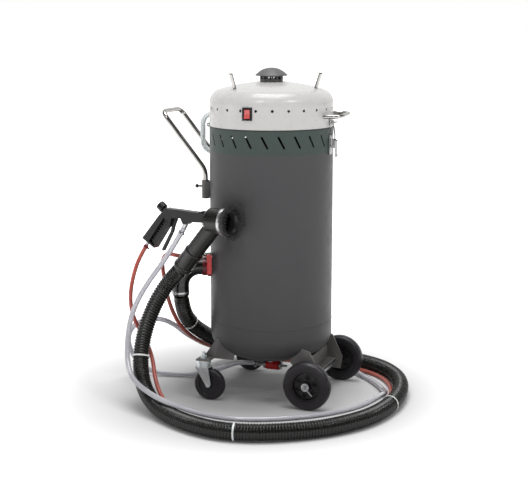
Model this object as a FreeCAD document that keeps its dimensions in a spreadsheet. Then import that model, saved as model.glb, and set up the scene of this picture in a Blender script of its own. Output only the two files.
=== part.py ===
import FreeCAD, Part
import Sketcher
import math
import os

# Mobile vacuum blasting tank: domed hinged lid with a vacuum motor, a round
# tank on two fixed wheels and two casters, a blast gun with a suction brush
# hanging on its holder, and three hoses.
# Tank axis is the local Z axis while modelling; every sub-part is then moved
# by the same origin cells, so the stored frame has its origin on the floor.

V = FreeCAD.Vector
R3 = FreeCAD.Rotation
doc = FreeCAD.newDocument("BlastTank")
dims = doc.addObject("Spreadsheet::Sheet", "Dims")
ROW = [1]


class Val:
    """A number together with the sheet expression that gives it."""

    def __init__(self, num, ex):
        self.n = float(num)
        self.e = ex

    def __add__(self, o):
        o = val(o)
        return Val(self.n + o.n, "(%s + %s)" % (self.e, o.e))

    def __radd__(self, o):
        return val(o) + self

    def __sub__(self, o):
        o = val(o)
        return Val(self.n - o.n, "(%s - %s)" % (self.e, o.e))

    def __rsub__(self, o):
        return val(o) - self

    def __mul__(self, o):
        o = val(o)
        return Val(self.n * o.n, "(%s * %s)" % (self.e, o.e))

    def __rmul__(self, o):
        return val(o) * self

    def __truediv__(self, o):
        o = val(o)
        return Val(self.n / o.n, "(%s / %s)" % (self.e, o.e))

    def __neg__(self):
        return val(0) - self


def val(x):
    return x if isinstance(x, Val) else Val(x, "%.6f" % x)


def root(x):
    return Val(math.sqrt(x.n), "sqrt(%s)" % x.e)


def cell(alias, num, note):
    r = ROW[0]
    dims.set("A%d" % r, note)
    dims.set("B%d" % r, "%.6g" % num)
    dims.setAlias("B%d" % r, alias)
    ROW[0] += 1
    return Val(num, "Dims." + alias)


# ---- driving dimensions, millimetres -------------------------------------
odx = cell("origin_dx", 52.36, "tank axis to stored origin, X")
ody = cell("origin_dy", 50.3, "tank axis to stored origin, Y")
tank_rad = cell("tank_rad", 195, "outer radius of tank and lid")
wall = cell("wall_thick", 4, "tank wall")
seam = cell("seam_z", 857, "top of the vent collar")
collar_z = cell("collar_z", 782, "bottom of the vent collar")
weld_z = cell("weld_z", 242, "girth weld of the bottom head")
knuckle_z = cell("knuckle_z", 202, "tangent line of the bottom head")
head_knuckle = cell("head_knuckle", 67.4, "knuckle radius of the bottom head")
head_crown = cell("head_crown", 352.8, "crown radius of the bottom head")
lid_z = cell("lid_z", 860, "bottom edge of the lid")
lid_wall = cell("lid_wall", 3, "lid wall")
lid_tan = cell("lid_tangent_z", 930.7, "tangent line of the lid")
lid_knuckle = cell("lid_knuckle", 45, "knuckle radius of the lid")
lid_crown = cell("lid_crown", 560, "crown radius of the lid")
vent_z = cell("vent_z", 917, "row of vent holes")
vent_rad = cell("vent_rad", 4.3, "vent hole radius")
slot_len = cell("slot_len", 41, "louvre slot length")
slot_wid = cell("slot_wid", 6.5, "louvre slot width")
slot_z = cell("slot_z", 822, "louvre slot centre height")
wheel_rad = cell("wheel_rad", 76.5, "fixed wheel radius")
wheel_x = cell("wheel_x", 181.7, "fixed axle position")
wheel_half = cell("wheel_half", 175.6, "half track of the fixed wheels")
wheel_wid = cell("wheel_wid", 36, "tyre width")
axle_rad = cell("axle_rad", 6, "axle radius")
cast_rad = cell("cast_rad", 50.8, "caster wheel radius")
cast_x = cell("cast_x", -162, "caster swivel axis, X")
cast_y = cell("cast_half", 179, "caster swivel axis, half track")
cast_trail = cell("cast_trail", 21, "caster trail")
cast_wid = cell("cast_wid", 24, "caster wheel width")
hand_y = cell("handle_half", 70, "half spacing of the pull handle legs")
hand_x = cell("handle_x", -197, "pull handle leg position")
hand_rad = cell("handle_rad", 7.6, "pull handle tube radius")
hose_rad = cell("suction_rad", 25, "suction hose radius")
air_rad = cell("air_rad", 6.5, "air hose radius")
abr_rad = cell("abrasive_rad", 8, "abrasive hose radius")
link_rad = cell("link_rad", 8.5, "link hose radius")
hinge_x = cell("hinge_x", -204, "lid hinge axis, X")
hinge_z = cell("hinge_z", 858, "lid hinge axis, Z")
peg_rad = cell("peg_rad", 5.5, "cord peg radius")
brush_rad = cell("brush_rad", 58, "brush radius at its face")
band_rad = cell("band_rad", 41.5, "brush band radius")
doc.recompute()

COUNT = [0]
POS = {}
PARTS = []


def nm(n):
    COUNT[0] += 1
    return "%s_%d" % (n, COUNT[0])


def bind(o, prop, v):
    v = val(v)
    if prop.startswith("."):
        pass
    else:
        setattr(o, prop, v.n)
    if "Dims." in v.e:
        o.setExpression(prop, v.e)


def put(o, x=0, y=0, z=0, rot=None):
    x, y, z = val(x), val(y), val(z)
    o.Placement = FreeCAD.Placement(V(x.n, y.n, z.n), rot if rot else R3())
    for ax, v in (("x", x), ("y", y), ("z", z)):
        if "Dims." in v.e:
            o.setExpression(".Placement.Base." + ax, v.e)
    POS[o.Name] = (x, y, z)
    return o


def aim(d):
    return R3(V(0, 0, 1), V(*d))


def cyl(r, L, x=0, y=0, z=0, d=(0, 0, 1)):
    o = doc.addObject("Part::Cylinder", nm("Cyl"))
    bind(o, "Radius", r)
    bind(o, "Height", L)
    return put(o, x, y, z, aim(d))


def cone(r1, r2, L, x=0, y=0, z=0, d=(0, 0, 1)):
    o = doc.addObject("Part::Cone", nm("Cone"))
    bind(o, "Radius1", r1)
    bind(o, "Radius2", r2)
    bind(o, "Height", L)
    return put(o, x, y, z, aim(d))


def box(x, y, z, a, b, c, rot=None):
    o = doc.addObject("Part::Box", nm("Box"))
    bind(o, "Length", a)
    bind(o, "Width", b)
    bind(o, "Height", c)
    return put(o, x, y, z, rot)


def turned_box(c, size, rot):
    """Box of the given size centred on c, turned by rot about its centre."""
    half = V(size[0] / 2.0, size[1] / 2.0, size[2] / 2.0)
    p = V(*c) - rot.multVec(half)
    return box(p.x, p.y, p.z, size[0], size[1], size[2], rot)


def ball(r, x=0, y=0, z=0):
    o = doc.addObject("Part::Sphere", nm("Ball"))
    bind(o, "Radius", r)
    return put(o, x, y, z)


def torus(r1, r2, x=0, y=0, z=0, d=(0, 0, 1), sweep=360):
    o = doc.addObject("Part::Torus", nm("Torus"))
    bind(o, "Radius1", r1)
    bind(o, "Radius2", r2)
    o.Angle3 = sweep
    return put(o, x, y, z, aim(d))


def cut(a, b):
    if isinstance(b, (list, tuple)):
        b = fuse(b) if len(b) > 1 else b[0]
    o = doc.addObject("Part::Cut", nm("Cut"))
    o.Base = a
    o.Tool = b
    return put(o)


def fuse(items):
    o = doc.addObject("Part::MultiFuse", nm("Fuse"))
    o.Shapes = list(items)
    return put(o)


def common(a, b):
    o = doc.addObject("Part::MultiCommon", nm("Common"))
    o.Shapes = [a, b]
    return put(o)


def group(items):
    o = doc.addObject("Part::Compound", nm("Group"))
    o.Links = list(items)
    return put(o)


def part(o, label):
    o.Label = label
    x, y, z = POS.get(o.Name, (val(0), val(0), val(0)))
    o.setExpression(".Placement.Base.x", "%s + Dims.origin_dx" % x.e)
    o.setExpression(".Placement.Base.y", "%s + Dims.origin_dy" % y.e)
    PARTS.append(o)
    return o


def loop(body, role, verts, arcs=None, name="Profile"):
    """Closed profile in a body's own plane. verts are coordinates, arcs gives
    for a segment the middle point and radius."""
    arcs = arcs or {}
    sk = body.newObject("Sketcher::SketchObject", nm(name))
    plane = [f for f in body.Origin.OriginFeatures if f.Role == role][0]
    sk.AttachmentSupport = [(plane, "")]
    sk.MapMode = "FlatFace"
    vs = [(val(a), val(b)) for a, b in verts]
    n = len(vs)
    ends = []
    for i in range(n):
        a, b = vs[i], vs[(i + 1) % n]
        pa, pb = V(a[0].n, a[1].n, 0), V(b[0].n, b[1].n, 0)
        if i in arcs:
            m = arcs[i]
            g = sk.addGeometry(Part.Arc(pa, V(m[0], m[1], 0), pb), False)
            first = 1 if (sk.getPoint(g, 1) - pa).Length < (sk.getPoint(g, 2) - pa).Length else 2
            ends.append((first, 3 - first))
        else:
            sk.addGeometry(Part.LineSegment(pa, pb), False)
            ends.append((1, 2))
    for i in range(n):
        j = (i + 1) % n
        sk.addConstraint(Sketcher.Constraint("Coincident", i, ends[i][1], j, ends[j][0]))
    for i in range(n):
        for k, kind in ((0, "DistanceX"), (1, "DistanceY")):
            v = vs[i][k]
            c = sk.addConstraint(Sketcher.Constraint(kind, -1, 1, i, ends[i][0], v.n))
            if "Dims." in v.e:
                sk.setExpression("Constraints[%d]" % c, v.e)
    for i, m in arcs.items():
        r = val(m[2])
        c = sk.addConstraint(Sketcher.Constraint("Radius", i, r.n))
        if "Dims." in r.e:
            sk.setExpression("Constraints[%d]" % c, r.e)
    return sk


def turned(verts, arcs=None, x=0, y=0, z=0, rot=None):
    """Body of revolution about its own Z axis from (radius, height) points."""
    body = doc.addObject("PartDesign::Body", nm("Body"))
    sk = loop(body, "XZ_Plane", verts, arcs)
    rev = body.newObject("PartDesign::Revolution", nm("Turn"))
    rev.Profile = sk
    rev.ReferenceAxis = (sk, ["V_Axis"])
    rev.Angle = 360
    return put(body, x, y, z, rot)


def plate(verts, thick, x=0, y=0, z=0, rot=None, arcs=None):
    """Pad of a profile in the body's XZ plane, symmetric about it along Y."""
    body = doc.addObject("PartDesign::Body", nm("Body"))
    sk = loop(body, "XZ_Plane", verts, arcs)
    pad = body.newObject("PartDesign::Pad", nm("Pad"))
    pad.Profile = sk
    bind(pad, "Length", thick)
    if hasattr(pad, "SideType"):
        pad.SideType = "Symmetric"
    else:
        pad.Midplane = True
    return put(body, x, y, z, rot)


def route(points, radii=None, factor=0.45, report=None):
    """Straight runs joined by tangent arcs through the route's points."""
    P = [V(*p) for p in points]
    edges = []
    at = P[0]
    length = 0.0
    out = []
    for i in range(1, len(P) - 1):
        a, b = (P[i - 1] - P[i]), (P[i + 1] - P[i])
        la, lb = a.Length, b.Length
        a.normalize()
        b.normalize()
        turn = math.pi - a.getAngle(b)
        half = math.tan(turn / 2.0)
        if radii is not None:
            r = radii
        else:
            r = factor * min(la, lb) / half
        t = r * half
        p1, p2 = P[i] + a * t, P[i] + b * t
        mid = a + b
        mid.normalize()
        c = P[i] + mid * (r / math.cos(turn / 2.0))
        pm = c - mid * r
        if (p1 - at).Length > 1e-6:
            edges.append(Part.LineSegment(at, p1).toShape())
            length += (p1 - at).Length
        edges.append(Part.Arc(p1, pm, p2).toShape())
        length += r * turn
        out.append(r)
        at = p2
    edges.append(Part.LineSegment(at, P[-1]).toShape())
    length += (P[-1] - at).Length
    if report:
        print(report, "length %.0f mm" % length, "radii", " ".join("%.0f" % r for r in out))
    return edges, length


def tube(points, r, radii=None, report=None):
    """Round bar or hose along a route, as one closed solid."""
    edges, length = route(points, radii, report=report)
    wire = Part.Wire(edges)
    start = V(*points[0])
    d = V(*points[1]) - start
    ring = Part.Wire([Part.Circle(start, d, r).toShape()])
    s = wire.makePipeShell([ring], True, False)
    if report:
        want = math.pi * r * r * length
        print("   volume ratio %.4f" % (s.Volume / want))
    return s


def feature(shape, label=None):
    o = doc.addObject("Part::Feature", nm("Feature"))
    o.Shape = shape
    return put(o)


def polar(az, r, z):
    a = math.radians(az)
    return (r * math.cos(a), r * math.sin(a), z)


# ---- tank ----------------------------------------------------------------
IN_AZ = -155.0
IN_Z = 411.0
inl = polar(IN_AZ, 170, IN_Z)
ind = polar(IN_AZ, 1, 0)
VAL_AZ = -143.0
VAL_Z = 452.0
vad = polar(VAL_AZ, 1, 0)
vin = polar(VAL_AZ, 170, VAL_Z)
BACK_AZ = 120.0
bad = polar(BACK_AZ, 1, 0)
bin_ = polar(BACK_AZ, 170, 640)
shell = cut(cyl(tank_rad, collar_z - weld_z, 0, 0, weld_z),
            cyl(tank_rad - wall, collar_z - weld_z + 20, 0, 0, weld_z - 10))
shell = cut(shell, [cyl(22, 60, *inl, d=ind), cyl(6, 60, *vin, d=vad), cyl(6, 60, *bin_, d=bad)])
shell = fuse([shell, cut(cyl(tank_rad - wall + 0.5, 4, 0, 0, 776), cyl(62, 20, 0, 0, 770))])
part(shell, "tank_shell")

slots = []
for k in range(24):
    az = -76.0 + 15.0 * k
    rot = R3(V(0, 0, 1), az) * R3(V(1, 0, 0), 28)
    o = doc.addObject("Part::Box", nm("Slot"))
    bind(o, "Length", 30)
    bind(o, "Width", slot_wid)
    bind(o, "Height", slot_len)
    p = V(*polar(az, 193, slot_z.n)) - rot.multVec(V(15, slot_wid.n / 2, slot_len.n / 2))
    put(o, p.x, p.y, p.z, rot)
    slots.append(o)
collar = cut(cyl(tank_rad, seam - collar_z, 0, 0, collar_z),
             cyl(tank_rad - wall, seam - collar_z + 20, 0, 0, collar_z - 10))
collar = cut(collar, group(slots))
part(collar, "vent_collar")


def dished(R, r, Rc, base, tan_z, t, up):
    """Flanged and dished head; up is +1 for a lid, -1 for a bottom."""
    ux = (R - r) / (Rc - r)
    uz = root(1 - ux * ux)
    zc = tan_z - up * ((Rc - r) * uz)
    T1 = (R - r + r * ux, tan_z + up * (r * uz))
    r2 = r - t
    T2 = (R - r + r2 * ux, tan_z + up * (r2 * uz))
    top = zc + up * Rc
    tin = zc + up * (Rc - t)
    verts = [(R, base), (R, tan_z), T1, (0, top), (0, tin), T2, (R - t, tan_z), (R - t, base)]

    def on(cx, cz, rad, ang):
        return (cx + rad * math.cos(ang), cz + up * rad * math.sin(ang))
    a = math.atan2(uz.n, ux.n)
    kc = R.n - r.n
    m1 = on(kc, tan_z.n, r.n, a / 2)
    mc = on(0, zc.n, Rc.n, (a + math.pi / 2) / 2)
    mi = on(0, zc.n, Rc.n - t.n, (a + math.pi / 2) / 2)
    m2 = on(kc, tan_z.n, r2.n, a / 2)
    arcs = {1: (m1[0], m1[1], r), 2: (mc[0], mc[1], Rc), 4: (mi[0], mi[1], Rc - t), 5: (m2[0], m2[1], r2)}
    return turned(verts, arcs), top.n


def domed(R, r, Rc, base, tan_z):
    """Filled volume under the outside of a flanged and dished lid."""
    ux = (R - r) / (Rc - r)
    uz = root(1 - ux * ux)
    zc = tan_z - (Rc - r) * uz
    T1 = (R - r + r * ux, tan_z + r * uz)
    top = zc + Rc
    a = math.atan2(uz.n, ux.n)
    m1 = (R.n - r.n + r.n * math.cos(a / 2), tan_z.n + r.n * math.sin(a / 2), r)
    b = (a + math.pi / 2) / 2
    mc = (Rc.n * math.cos(b), zc.n + Rc.n * math.sin(b), Rc)
    return turned([(0, base), (R, base), (R, tan_z), T1, (0, top)], {2: m1, 3: mc})


head, head_low = dished(tank_rad, head_knuckle, head_crown, weld_z, knuckle_z, wall, -1)
head = cut(head, cyl(11, 60, 0, 0, 80))
part(head, "bottom_head")
print("bottom of the head", head_low)

# cartridge hanging under the filter plate, which is welded into the shell
cart = cut(cyl(85, 226, 0, 0, 550), cyl(58, 222, 0, 0, 560))
cart = fuse([cart, cut(cyl(100, 6, 0, 0, 770), cyl(58, 12, 0, 0, 766))])
part(cart, "filter_cartridge")

# ---- lid -----------------------------------------------------------------
dome, dome_top = dished(tank_rad, lid_knuckle, lid_crown, lid_z, lid_tan, lid_wall, 1)
print("top of the dome", dome_top)
holes = [cyl(vent_rad, 40, *polar(-69.2 + 14.75 * k, 175, vent_z.n), d=polar(-69.2 + 14.75 * k, 1, 0))
         for k in range(-11, 13)]
SW = (-6.0, -193.0, 908.0)
dome = cut(dome, group(holes))
GL_AZ = 125.0
dome = cut(dome, [box(SW[0] - 14.2, -205, SW[2] - 17.7, 28.4, 40, 35.4), cyl(31, 60, 0, 0, 960),
                  cyl(9, 40, *polar(GL_AZ, 170, 895), d=polar(GL_AZ, 1, 0)),
                  cyl(6.5, 40, -176, 0, 891, (-1, 0, 0))])
part(dome, "lid_dome")
part(cut(cyl(tank_rad + 0.6, lid_z - seam - 0.3, 0, 0, seam + 0.3), cyl(tank_rad - 7, 20, 0, 0, 850)), "lid_gasket")

# mushroom exhaust: slotted neck under a domed cap
cap = turned([(31.5, 985), (36, 985), (36, 1015), (49, 1015), (52, 1016.5), (47, 1021), (41, 1026), (34, 1031), (25, 1035.8),
              (14, 1039), (4, 1040), (0, 1040), (0, 1035), (22, 1031), (31.5, 1024)])
nslots = []
for k in range(14):
    a = k * 360.0 / 14
    nslots.append(turned_box(polar(a, 34, 1009), (12, 9.5, 8), R3(V(0, 0, 1), a)))
under = domed(tank_rad, lid_knuckle, lid_crown, lid_z, lid_tan)
part(cut(cut(cap, group(nslots)), under), "exhaust_cap")

# three splayed rods that the mains cord is wound on
pegs = []
for az in (0, 120, 240):
    a = V(*polar(az, 144, 972))
    b = V(*polar(az, 161, 1023))
    d = b - a
    L = d.Length
    d.normalize()
    e = b
    pegs.append(fuse([cyl(peg_rad, L, a.x, a.y, a.z, (d.x, d.y, d.z)), ball(peg_rad, e.x, e.y, e.z)]))
under2 = domed(tank_rad, lid_knuckle, lid_crown, lid_z, lid_tan)
part(cut(group(pegs), under2), "cord_wrap_pegs")

# lift handle: bent bar on the latch side
ROLL = 3.0
lh = [(188, -50, 897), (243, -50, 899), (243, 50, 899), (188, 50, 897)]
lh = tube(lh, 6.2, radii=24)
lh.rotate(V(190, 0, 898), V(1, 0, 0), ROLL)
lh = lh.cut(Part.makeCylinder(195.05, 80, V(0, 0, 860)))
part(feature(lh), "lift_handle")

# toggle latch: hook on the lid, bail, over-centre lever and its base
hook = fuse([box(195.2, -13, 866, 2.2, 26, 24), box(195.2, -9, 874, 18.2, 18, 3), box(211.4, -9, 877, 2, 18, 1.2)])
part(hook, "latch_hook")
PIV = (206.0, 815.0)
BP = (204.0, 803.0)
base = fuse([box(195.2, -15, 776, 2.5, 30, 60), box(195.2, -15, 808, 14, 3, 14), box(195.2, 12, 808, 14, 3, 14)])
base = cut(base, cyl(2.55, 60, PIV[0], -30, PIV[1], (0, 1, 0)))
part(base, "latch_base")
lever = fuse([box(212.5, -10.5, 778, 2, 21, 40), box(201.5, -11.5, 796, 13, 2.4, 24), box(201.5, 9.1, 796, 13, 2.4, 24),
              cyl(2.5, 29.6, PIV[0], -14.8, PIV[1], (0, 1, 0)), turned_box((214.3, 0, 773.6), (2, 21, 11), R3(V(0, 1, 0), -9))])
lever = cut(lever, cyl(2.0, 60, BP[0], -30, BP[1], (0, 1, 0)))
part(lever, "latch_lever")
wy = 17.6
wire_pts = [(BP[0], -8.8, BP[1]), (BP[0], -wy, BP[1]), (BP[0], -wy, 835), (200.2, -wy, 860), (199.6, -wy, 879.1),
            (199.6, wy, 879.1), (200.2, wy, 860), (BP[0], wy, 835), (BP[0], wy, BP[1]), (BP[0], 8.8, BP[1])]
part(feature(tube(wire_pts, 1.95, radii=4.0)), "latch_bail")

# lid hinge, opposite the latch
kn = 6.5
leaf_l = fuse([cyl(kn, 17, hinge_x, 9, hinge_z, (0, 1, 0)), cyl(kn, 17, hinge_x, -26, hinge_z, (0, 1, 0)),
               box(-200.5, -26, 864, 3.2, 52, 22), box(-200.5, 9, 858, 3.2, 17, 8), box(-200.5, -26, 858, 3.2, 17, 8)])
leaf_l = cut(leaf_l, [cyl(3.05, 80, hinge_x, -40, hinge_z, (0, 1, 0)), cyl(194.9, 60, 0, 0, 850), cyl(9.3, 40, -180, 0, 891, (-1, 0, 0))])
part(leaf_l, "hinge_leaf_lid")
leaf_t = fuse([cyl(kn, 17, hinge_x, -8.5, hinge_z, (0, 1, 0)), box(-200.5, -8.5, 838, 5.2, 17, 19), box(-200.5, -26, 812, 5.2, 52, 34)])
leaf_t = cut(leaf_t, [cyl(3.0, 80, hinge_x, -40, hinge_z, (0, 1, 0)), cyl(195, 80, 0, 0, 790)])
part(leaf_t, "hinge_leaf_tank")
part(cyl(3.0, 56, hinge_x, -28, hinge_z, (0, 1, 0)), "hinge_pin")

# rocker switch
house = cut(box(SW[0] - 15.5, -198.2, SW[2] - 19.5, 31, 4.2, 39), box(SW[0] - 9.5, -210, SW[2] - 15.5, 19, 40, 31))
can = cut(box(SW[0] - 13.5, -197.6, SW[2] - 17, 27, 29.6, 34), box(SW[0] - 9.5, -210, SW[2] - 15.5, 19, 34, 31))
house = cut(house, cyl(195.05, 80, 0, 0, 870))
part(cut(fuse([house, can]), cyl(1.65, 60, SW[0] - 30, -190, SW[2], (1, 0, 0))), "switch_housing")
rk = plate([(-200.8, -13.2), (-198.2, 0), (-198.6, 13.2), (-192, 12), (-186, 3), (-186, -3), (-192, -12)], 17.4,
           SW[0], 0, SW[2], R3(V(0, 0, 1), 90))
rk.Placement = FreeCAD.Placement(V(SW[0], 0, SW[2]), R3(V(0, 0, 1), 90))
part(fuse([rk, cyl(1.6, 25, SW[0] - 12.5, -190, SW[2], (1, 0, 0))]), "switch_rocker")

# vacuum motor on its flange under the dome, and the cord gland
mot = fuse([cyl(191.4, 3, 0, 0, 863), cyl(72, 40, 0, 0, 866), cyl(48, 55, 0, 0, 906), cyl(27, 22, 0, 0, 961)])
mot = cut(mot, [cyl(20, 30, 0, 0, 862)])
part(mot, "vacuum_motor")
g0 = polar(GL_AZ, 186, 895)
gd = polar(GL_AZ, 1, 0)
g1 = polar(GL_AZ, 196.5, 895)
g2 = polar(GL_AZ, 180, 895)
gl = cut(fuse([cyl(8.8, 30, *g0, d=gd), cyl(12.5, 7, *g1, d=gd)]), cyl(4.2, 60, *g2, d=gd))
part(gl, "cable_gland")

# ---- pull handle ---------------------------------------------------------
socks = []
for s in (-1, 1):
    yy = 70.0 * s
    so = fuse([cyl(12, 58, hand_x, yy, 628), turned_box((-186, yy, 657), (24, 22, 52), R3())])
    so = cut(so, [cyl(7.68, 90, hand_x, yy, 612), cyl(195.1, 90, 0, 0, 612), cyl(3.06, 30, -232, yy, 666, (1, 0, 0))])
    socks.append(so)
part(group(socks), "handle_sockets")
hp = [(hand_x.n, -70, 630), (hand_x.n, -70, 718), (-345, -70, 899), (-345, 70, 899), (hand_x.n, 70, 718), (hand_x.n, 70, 630)]
hedge = []


def bent(points, radii):
    P = [V(*p) for p in points]
    es = []
    at = P[0]
    for i in range(1, len(P) - 1):
        a, b = P[i - 1] - P[i], P[i + 1] - P[i]
        a.normalize()
        b.normalize()
        turn = math.pi - a.getAngle(b)
        r = radii[i - 1]
        t = r * math.tan(turn / 2)
        mid = a + b
        mid.normalize()
        c = P[i] + mid * (r / math.cos(turn / 2))
        es.append(Part.LineSegment(at, P[i] + a * t).toShape())
        es.append(Part.Arc(P[i] + a * t, c - mid * r, P[i] + b * t).toShape())
        at = P[i] + b * t
    es.append(Part.LineSegment(at, P[-1]).toShape())
    return Part.Wire(es)


def bar(points, radii, r):
    w = bent(points, radii)
    s = V(*points[0])
    d = V(*points[1]) - s
    return w.makePipeShell([Part.Wire([Part.Circle(s, d, r).toShape()])], True, False)


part(feature(bar(hp, [60, 26, 26, 60], hand_rad.n)), "pull_handle")
for s, lab in ((-1, "clamp_screw_near"), (1, "clamp_screw_far")):
    yy = 70.0 * s
    sc = fuse([cyl(3.0, 22.6, -227.6, yy, 666, (1, 0, 0)), cyl(6.0, 5, -229.0, yy, 666, (1, 0, 0)),
               box(-231.5, yy - 6.5, 664.4, 4, 13, 3.2)])
    part(sc, lab)

# ---- running gear --------------------------------------------------------
cb = []
for s in (-1, 1):
    cheek = plate([(-126, 195), (-60, 172), (-72, 128), (-172, 128)], 4, 0, 152.0 * s, 0)
    strip_c = turned_box((-149, 121.0 * s, 161.5), (4, 62, 79), R3(V(0, 1, 0), 34))
    strip_c = common(strip_c, box(-200, 80 if s > 0 else -150, 128, 160, 70, 80))
    foot = box(-180, min(154.0 * s, 200.0 * s), 128, 44, 46, 5)
    foot = cut(foot, cyl(6.2, 30, cast_x, cast_y * s, 120))
    web = box(-180, min(90.0 * s, 154.0 * s), 128, 90, 64, 4)
    br = fuse([cheek, strip_c, foot, web])
    cb.append(br)
cbg = group(cb)
blank = fuse([cyl(tank_rad + 0.05, 100, 0, 0, 202), ball(head_crown, 0, 0, 457.3)])
torus_k = torus(tank_rad - head_knuckle, head_knuckle, 0, 0, knuckle_z)
inner_k = cyl(129, 80, 0, 0, 130)
solid_head = fuse([common(ball(head_crown, 0, 0, 457.3), cyl(tank_rad - head_knuckle + 25, 120, 0, 0, 95)), torus_k,
                   cyl(tank_rad + 0.05, 100, 0, 0, 202), cyl(tank_rad - head_knuckle, 90, 0, 0, 138)])
part(cut(cbg, solid_head), "caster_brackets")

wb = []
for s in (-1, 1):
    wb.append(plate([(112, 190), (172, 168), (206, 96), (200, 56), (168, 56), (108, 130)], 4, 0, 120.0 * s, 0))
beam = fuse([box(150, -118, 88, 4, 236, 46), box(154, -118, 88, 30, 236, 4)])
wbg = cut(group([cut(w, cyl(6.03, 400, wheel_x, -200, wheel_rad, (0, 1, 0))) for w in wb] + [beam]),
          solid_head)
part(wbg, "wheel_brackets")
part(cyl(axle_rad, 412, wheel_x, -206, wheel_rad, (0, 1, 0)), "axle")

for s, lab in ((-1, "near"), (1, "far")):
    cy = wheel_half * s
    rot = R3(V(1, 0, 0), 90)
    w2 = wheel_wid / 2
    tyre = turned([(50, -(w2 - 3)), (62, -w2 + 1), (70, -w2 + 2), (wheel_rad - 1.5, -10), (wheel_rad, -6), (wheel_rad, 6),
                   (wheel_rad - 1.5, 10), (70, w2 - 2), (62, w2 - 1), (50, w2 - 3)], None, wheel_x, cy, wheel_rad, rot)
    part(tyre, "tyre_" + lab)
    rim = turned([(6.06, -19), (15, -19), (17, -7), (40, -5), (43, -13), (50, -14), (50, 14), (43, 13), (40, 5), (17, 7),
                  (15, 19), (6.06, 19)], None, wheel_x, cy, wheel_rad, rot)
    wins = []
    for k in range(6):
        a = math.radians(60 * k + 20)
        wins.append(cyl(7.5, 60, wheel_x + 29.0 * math.cos(a), cy + 30, wheel_rad + 29.0 * math.sin(a), (0, -1, 0)))
    part(cut(rim, group(wins)), "rim_" + lab)
ws, pins = [], []
for s in (-1, 1):
    yo = 194.9 * s
    ws.append(cut(cyl(12.5, 2.2, wheel_x, min(yo, yo + 2.2 * s), wheel_rad, (0, 1, 0)),
                  cyl(6.0, 20, wheel_x, min(yo, yo + 2.2 * s) - 5, wheel_rad, (0, 1, 0))))
    ws.append(cut(cyl(11, 30, wheel_x, min(122.2 * s, 152.2 * s) + 1.5 * s, wheel_rad, (0, 1, 0)),
                  cyl(6.0, 90, wheel_x, min(122.2 * s, 152.2 * s) - 20, wheel_rad, (0, 1, 0))))
    pins.append(turned_box((181.7 + 9, 200.5 * s, 76.5 - 9), (42, 2.4, 2.4), R3(V(0, 1, 0), 45)))
    pins.append(turned_box((181.7 + 21.5, 200.5 * s, 76.5 - 27), (18, 2.4, 2.4), R3(V(0, 1, 0), 70)))
ws.append(cut(pins[0], cyl(6.0, 412, wheel_x, -206, wheel_rad, (0, 1, 0))))
ws.append(cut(pins[2], cyl(6.0, 412, wheel_x, -206, wheel_rad, (0, 1, 0))))
part(group(ws), "axle_washers")

# casters: stem bolted through the bracket foot, swivelling fork, wheel
stems = []
for s in (-1, 1):
    cy = cast_y * s
    st = fuse([cyl(6.1, 46, cast_x, cy, 106), cyl(21, 6, cast_x, cy, 110), cyl(23, 12, cast_x, cy, 116),
               cyl(10, 8, cast_x, cy, 133), cyl(4.5, 14, cast_x, cy, 141)])
    stems.append(st)
part(group(stems), "caster_stems")
for s, lab in ((-1, "near"), (1, "far")):
    cy = cast_y * s
    wx = cast_x + cast_trail
    crown = cut(cyl(22.5, 4, cast_x, cy, 105.8), cyl(6.2, 20, cast_x, cy, 100))
    cheeks = []
    for q in (-1, 1):
        cheeks.append(plate([(-184, 106), (-140, 106), (-131.5, 51), (-137, 44), (-145, 44), (-150.5, 51)], 3, 0, cy + 16.5 * q, 0))
    top = cut(box(-184, cy - 18, 103.2, 44, 36, 3), cyl(6.2, 20, cast_x, cy, 95))
    fork = fuse([crown, top] + cheeks)
    fork = cut(fork, cyl(4.0, 60, wx, cy - 30, cast_rad, (0, 1, 0)))
    part(fork, "caster_fork_" + lab)
    wheel = turned([(4.05, -14), (10, -14), (12, -9), (32, -9), (34, -12), (46, -12), (cast_rad - 1, -8), (cast_rad, -4), (cast_rad, 4),
                    (cast_rad - 1, 8), (46, 12), (34, 12), (32, 9), (12, 9), (10, 14), (4.05, 14)], None,
                   wx, cy, cast_rad, R3(V(1, 0, 0), 90))
    part(wheel, "caster_wheel_" + lab)
    bolt = fuse([cyl(4.0, 40, wx, cy - 20, cast_rad, (0, 1, 0)), cyl(7, 3, wx, cy - 21, cast_rad, (0, 1, 0)),
                 cyl(7, 3, wx, cy + 18, cast_rad, (0, 1, 0))])
    part(bolt, "caster_bolt_" + lab)

# ---- abrasive outlet under the tank --------------------------------------
OV = 80.0
ov = fuse([cyl(11, 30, 0, 0, 80), cyl(10, 58, -24, 0, OV, (1, 0, 0)), cyl(13, 7, -24, 0, OV, (1, 0, 0)),
           cyl(13, 5, 31, 0, OV, (1, 0, 0)), cyl(7, 22, -45, 0, OV, (1, 0, 0)), cyl(4, 20, 35, 0, OV, (1, 0, 0))])
ov = cut(ov, [cyl(5, 50, 0, 0, 76), cyl(5, 100, -70, 0, OV, (1, 0, 0))])
part(ov, "outlet_valve")
slv = turned([(10.06, -22), (14, -22), (15.5, -20), (15.5, -14), (14.3, -12), (15.5, -10), (15.5, -2), (14.3, 0), (15.5, 2), (15.5, 8),
              (14.3, 10), (15.5, 12), (15.5, 20), (14, 22), (10.06, 22)], None, 0, 0, 0, R3(V(0, 1, 0), 90))
slv2 = put(slv, 7.2, 0, OV, R3(V(0, 1, 0), 90))
slv = cut(slv2, [cyl(11.6, 60, 0, 0, OV, (0, math.sin(math.radians(a)), math.cos(math.radians(a)))) for a in range(0, 66, 6)])
part(slv, "metering_sleeve")

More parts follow.
